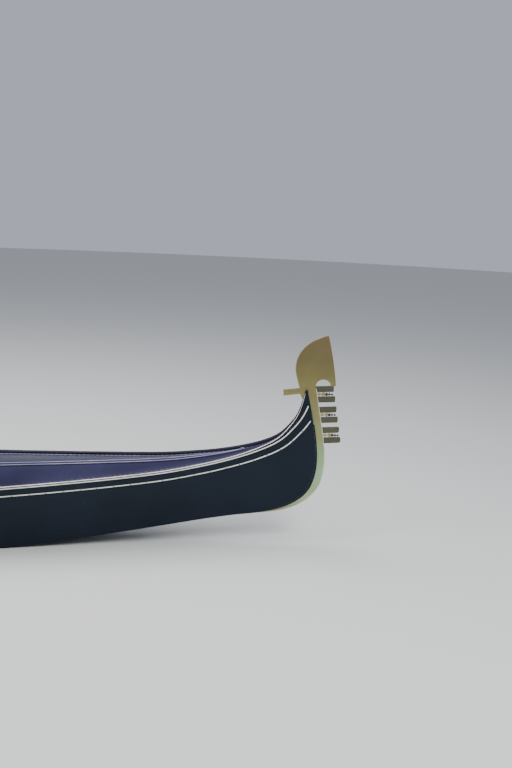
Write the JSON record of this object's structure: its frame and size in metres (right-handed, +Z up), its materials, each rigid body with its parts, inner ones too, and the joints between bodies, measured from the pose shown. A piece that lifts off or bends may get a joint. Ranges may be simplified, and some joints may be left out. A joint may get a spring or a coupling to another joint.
{
  "type": "gondola boat",
  "caption": "Long black flat-bottomed rowing boat, lopsided in plan, with a comb-shaped bow iron, crowned decks, open wells, a velvet seat, locker doors and an oar crutch.",
  "frame": {"origin": "on the centreline of the stem and stern post, at the underside of the level middle of the bottom, midway between bow and stern", "axes": "+X forward to the bow, +Y to port, +Z up"},
  "size_m": [10.841, 1.421, 1.694],
  "materials": {
    "lacquer": "high gloss black-blue lacquer",
    "deck_lacquer": "high gloss lacquer",
    "bottom_paint": "satin antifouling",
    "varnished_wood": "varnished",
    "floorboards": "satin paint",
    "bow_iron": "brushed",
    "brass": "polished",
    "velvet": "pile",
    "walnut": "oiled"
  },
  "bodies": {
    "hull": {"starboard_side_aft": "lacquer", "starboard_side_mid": "lacquer", "starboard_side_fore": "lacquer", "starboard_gunwale_aft": "lacquer", "starboard_gunwale_mid": "lacquer", "starboard_gunwale_fore": "lacquer", "port_side_aft": "lacquer", "port_side_mid": "lacquer", "port_side_fore": "lacquer", "port_gunwale_aft": "lacquer", "port_gunwale_mid": "lacquer", "port_gunwale_fore": "lacquer", "starboard_frames": "varnished_wood", "port_frames": "varnished_wood", "starboard_sea_horse": "brass", "port_sea_horse": "brass", "starboard_bench": "lacquer", "port_bench": "lacquer", "starboard_bench_cushion": "velvet", "port_bench_cushion": "velvet", "starboard_armrest": "lacquer", "port_armrest": "lacquer", "bottom_planking": "bottom_paint", "bow_stem": "lacquer", "stern_post": "lacquer", "foredeck": "deck_lacquer", "foredeck_ridge": "lacquer", "aft_deck": "deck_lacquer", "aft_deck_ridge": "lacquer", "bow_iron": "bow_iron", "stern_iron": "bow_iron", "floor_frames": "varnished_wood", "fore_floorboards": "floorboards", "cabin_floorboards": "floorboards", "aft_floorboards": "floorboards", "bow_bulkhead": "lacquer", "stern_bulkhead": "lacquer", "fore_thwart": "lacquer", "aft_thwart": "lacquer", "seat_base": "lacquer", "seat_back": "lacquer", "seat_cushion": "velvet", "seat_back_cushion": "velvet", "crutch_block": "varnished_wood", "foot_wedge": "varnished_wood"},
    "bow_locker_door": {"bow_locker_door": "lacquer"},
    "stern_locker_door": {"stern_locker_door": "lacquer"},
    "oar_crutch": {"oar_crutch": "walnut"}
  },
  "joints": [
    {"name": "bow_locker_hinge", "type": "hinge", "parent": "hull", "child": "bow_locker_door", "pos_m": [2.743, -0.1475, 0.375], "axis": [0, 0, 1], "range_deg": [0, 110]},
    {"name": "stern_locker_hinge", "type": "hinge", "parent": "hull", "child": "stern_locker_door", "pos_m": [-1.943, -0.1275, 0.33], "axis": [0, 0, -1], "range_deg": [0, 110]},
    {"name": "crutch_lift", "type": "slide", "parent": "hull", "child": "oar_crutch", "axis": [0, 0, 1], "range_m": [0, 0.15]}
  ]
}
